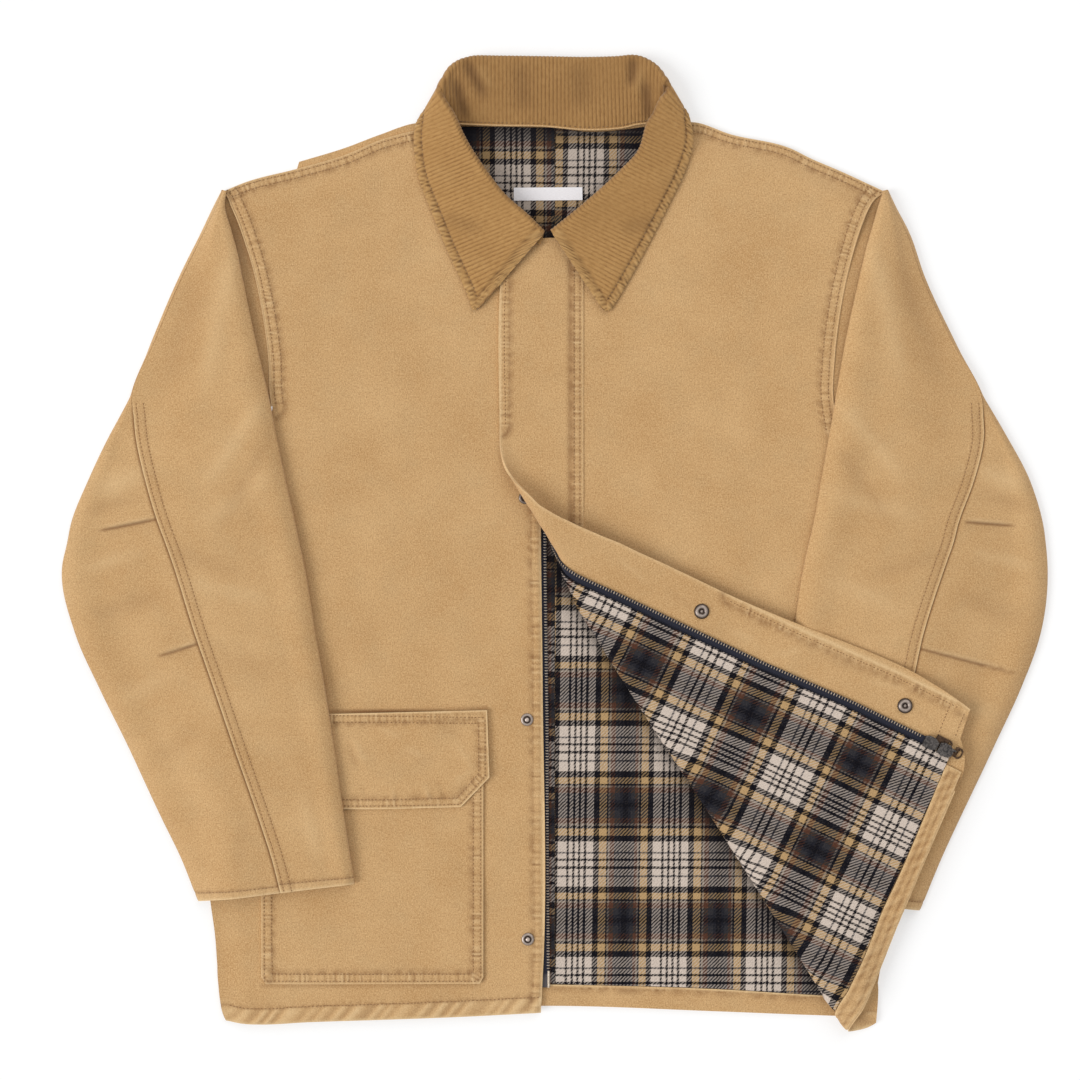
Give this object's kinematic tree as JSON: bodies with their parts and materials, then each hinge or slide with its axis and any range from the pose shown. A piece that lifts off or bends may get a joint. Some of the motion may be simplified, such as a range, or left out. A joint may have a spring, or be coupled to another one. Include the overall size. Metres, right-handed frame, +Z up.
{
  "type": "barn jacket",
  "caption": "Canvas barn jacket laid flat, front up, with a corduroy collar, a brushed plaid lining, a patch pocket, a snapped placket over a zip and one lower front corner turned back.",
  "frame": {"origin": "middle of the whole outline, on the surface the jacket lies on", "axes": "+Z up off that surface, +Y from the hem towards the collar, +X towards the wearer's left"},
  "size_m": [0.8412, 0.832, 0.0264],
  "materials": {
    "canvas": "sand-washed cotton twill, matt, paler along its edges",
    "corduroy": "eight-wale cotton corduroy with a soft pile",
    "plaid": "brushed woollen twill in cream, tan, rust, grey and navy checks",
    "tape": "navy woven zip tape",
    "label": "bare woven label, slightly glossy",
    "snap_metal": "antique plated brass, dark with bright worn rims",
    "zip_metal": "gunmetal plated brass with bright worn edges"
  },
  "bodies": {
    "jacket": {"back": "canvas", "back_hem_facing": "canvas", "back_lining_left": "plaid", "back_lining_right": "plaid", "collar": "corduroy", "front_left": "canvas", "front_left_hem_facing": "canvas", "front_left_lining": "plaid", "front_right": "canvas", "neck_label": "label", "placket": "canvas", "pocket_flap_right": "canvas", "pocket_right": "canvas", "sleeve_left_top": "canvas", "sleeve_left_under": "canvas", "sleeve_right_top": "canvas", "sleeve_right_under": "canvas", "snap_socket_1": "snap_metal", "snap_socket_2": "snap_metal", "snap_stud_1": "snap_metal", "snap_stud_2": "snap_metal", "snap_stud_3": "snap_metal", "zip_pull_upper": "zip_metal", "zip_slider_lower": "zip_metal", "zip_slider_upper": "zip_metal", "zip_tape_left": "tape", "zip_tape_right": "tape"},
    "lower_pull": {"zip_pull_lower": "zip_metal"}
  },
  "joints": [
    {"name": "lower_pull_hinge", "type": "hinge", "parent": "jacket", "child": "lower_pull", "pos_m": [0.3383, -0.17575, 0.0212], "axis": [-0.559, -0.8291, 0], "range_deg": [0, 65]}
  ]
}
